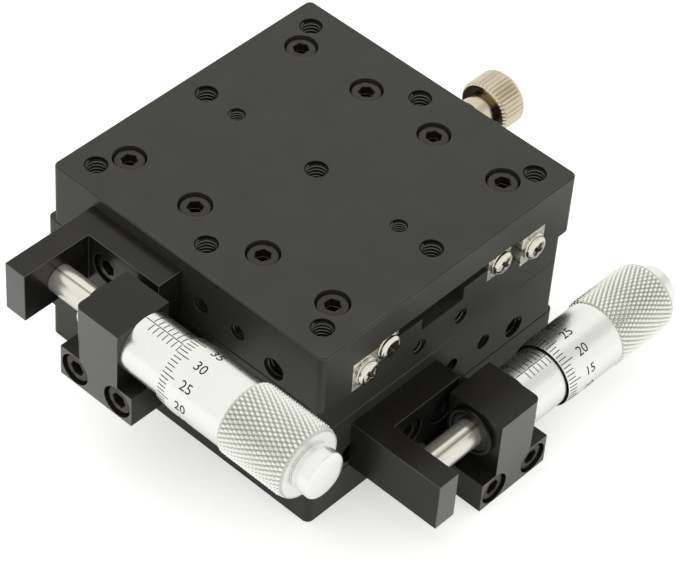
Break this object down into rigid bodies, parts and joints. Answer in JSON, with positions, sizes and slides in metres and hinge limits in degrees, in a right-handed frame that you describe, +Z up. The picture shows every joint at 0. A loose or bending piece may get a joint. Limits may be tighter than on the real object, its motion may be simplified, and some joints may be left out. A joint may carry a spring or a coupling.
{
  "type": "crossed roller linear stage",
  "caption": "Two-axis crossed roller stage: square tables on ground V-groove rails, each driven by a micrometer head against a lever and locked by a thumb screw.",
  "frame": {"origin": "centre of the lower base's underside, at its four mounting taps", "axes": "+X along the upper table's travel, away from its lever; +Y along the lower table's travel; +Z up"},
  "size_m": [0.0914, 0.0926, 0.04],
  "materials": {
    "black_anodised": "black anodised, fine matt",
    "ground_steel": "hardened and ground",
    "black_oxide_steel": "black oxide",
    "nickel_plate": "bright nickel plate",
    "satin_chrome": "satin chrome",
    "cage_brass": "rolled strip",
    "spring_steel": "drawn wire"
  },
  "bodies": {
    "lower_base": {"y_base": "black_anodised", "y_inner_rail_left": "ground_steel", "y_inner_rail_right": "ground_steel", "y_inner_rail_screws": "black_oxide_steel", "y_inner_end_screws": "nickel_plate", "y_micrometer_block": "black_anodised", "y_block_screws": "black_oxide_steel", "y_sleeve": "satin_chrome", "y_clamp_nut": "black_oxide_steel", "y_base_spring_pin": "ground_steel", "y_return_spring": "spring_steel", "y_lock_plate": "black_anodised", "y_lock_plate_screws": "black_oxide_steel"},
    "lower_cages": {"y_roller_cages": "cage_brass", "y_rollers": "ground_steel"},
    "lower_carriage": {"y_table": "black_anodised", "y_outer_rail_left": "ground_steel", "y_outer_rail_right": "ground_steel", "y_outer_rail_screws": "black_oxide_steel", "y_outer_end_screws": "nickel_plate", "y_preload_screws": "black_oxide_steel", "y_contact_arm": "black_anodised", "y_arm_screws": "black_oxide_steel", "y_table_spring_pin": "ground_steel", "x_base": "black_anodised", "x_inner_rail_left": "ground_steel", "x_inner_rail_right": "ground_steel", "x_inner_rail_screws": "black_oxide_steel", "x_inner_end_screws": "nickel_plate", "x_micrometer_block": "black_anodised", "x_block_screws": "black_oxide_steel", "x_sleeve": "satin_chrome", "x_clamp_nut": "black_oxide_steel", "x_base_spring_pin": "ground_steel", "x_return_spring": "spring_steel", "x_lock_plate": "black_anodised", "x_lock_plate_screws": "black_oxide_steel", "stage_joining_screws": "black_oxide_steel"},
    "lower_spindle": {"y_spindle": "ground_steel"},
    "lower_thimble": {"y_thimble": "satin_chrome", "y_thimble_grip": "satin_chrome", "y_thimble_cap": "satin_chrome"},
    "lower_lock": {"y_lock_screw": "nickel_plate"},
    "upper_cages": {"x_roller_cages": "cage_brass", "x_rollers": "ground_steel"},
    "upper_table": {"x_table": "black_anodised", "x_outer_rail_left": "ground_steel", "x_outer_rail_right": "ground_steel", "x_outer_rail_screws": "black_oxide_steel", "x_outer_end_screws": "nickel_plate", "x_preload_screws": "black_oxide_steel", "x_contact_arm": "black_anodised", "x_arm_screws": "black_oxide_steel", "x_table_spring_pin": "ground_steel"},
    "upper_spindle": {"x_spindle": "ground_steel"},
    "upper_thimble": {"x_thimble": "satin_chrome", "x_thimble_grip": "satin_chrome", "x_thimble_cap": "satin_chrome"},
    "upper_lock": {"x_lock_screw": "nickel_plate"}
  },
  "joints": [
    {"name": "lower_spindle_slide", "type": "slide", "parent": "lower_base", "child": "lower_spindle", "axis": [0, 1, 0], "range_m": [-0.0062, 0.0068]},
    {"name": "lower_thimble_turn", "type": "hinge", "parent": "lower_spindle", "child": "lower_thimble", "pos_m": [0.0416, 0, 0.0125], "axis": [0, 1, 0], "range_deg": [-4464.01, 4896.01]},
    {"name": "lower_table_slide", "type": "slide", "parent": "lower_base", "child": "lower_carriage", "axis": [0, 1, 0], "range_m": [-0.0062, 0.0068], "deforming": ["y_return_spring"]},
    {"name": "lower_cage_slide", "type": "slide", "parent": "lower_base", "child": "lower_cages", "axis": [0, 1, 0], "range_m": [-0.0031, 0.0034]},
    {"name": "lower_lock_turn", "type": "hinge", "parent": "lower_carriage", "child": "lower_lock", "pos_m": [-0.039, 0.0032, 0.0127], "axis": [-1, 0, 0], "range_deg": [-216, 0]},
    {"name": "upper_spindle_slide", "type": "slide", "parent": "lower_carriage", "child": "upper_spindle", "axis": [1, 0, 0], "range_m": [-0.0068, 0.0062]},
    {"name": "upper_thimble_turn", "type": "hinge", "parent": "upper_spindle", "child": "upper_thimble", "pos_m": [0, -0.0424, 0.0325], "axis": [1, 0, 0], "range_deg": [-4896.01, 4464.01]},
    {"name": "upper_table_slide", "type": "slide", "parent": "lower_carriage", "child": "upper_table", "axis": [1, 0, 0], "range_m": [-0.0068, 0.0062], "deforming": ["x_return_spring"]},
    {"name": "upper_cage_slide", "type": "slide", "parent": "lower_carriage", "child": "upper_cages", "axis": [1, 0, 0], "range_m": [-0.0034, 0.0031]},
    {"name": "upper_lock_turn", "type": "hinge", "parent": "upper_table", "child": "upper_lock", "pos_m": [0.0054, 0.0382, 0.0327], "axis": [0, 1, 0], "range_deg": [-216, 0]}
  ],
  "couplings": [
    {"joint": "lower_spindle_slide", "follows": "lower_table_slide", "ratio": 1},
    {"joint": "lower_thimble_turn", "follows": "lower_table_slide", "rad_per_m": 12566},
    {"joint": "lower_cage_slide", "follows": "lower_table_slide", "ratio": 0.5},
    {"joint": "upper_spindle_slide", "follows": "upper_table_slide", "ratio": 1},
    {"joint": "upper_thimble_turn", "follows": "upper_table_slide", "rad_per_m": 12566},
    {"joint": "upper_cage_slide", "follows": "upper_table_slide", "ratio": 0.5}
  ]
}
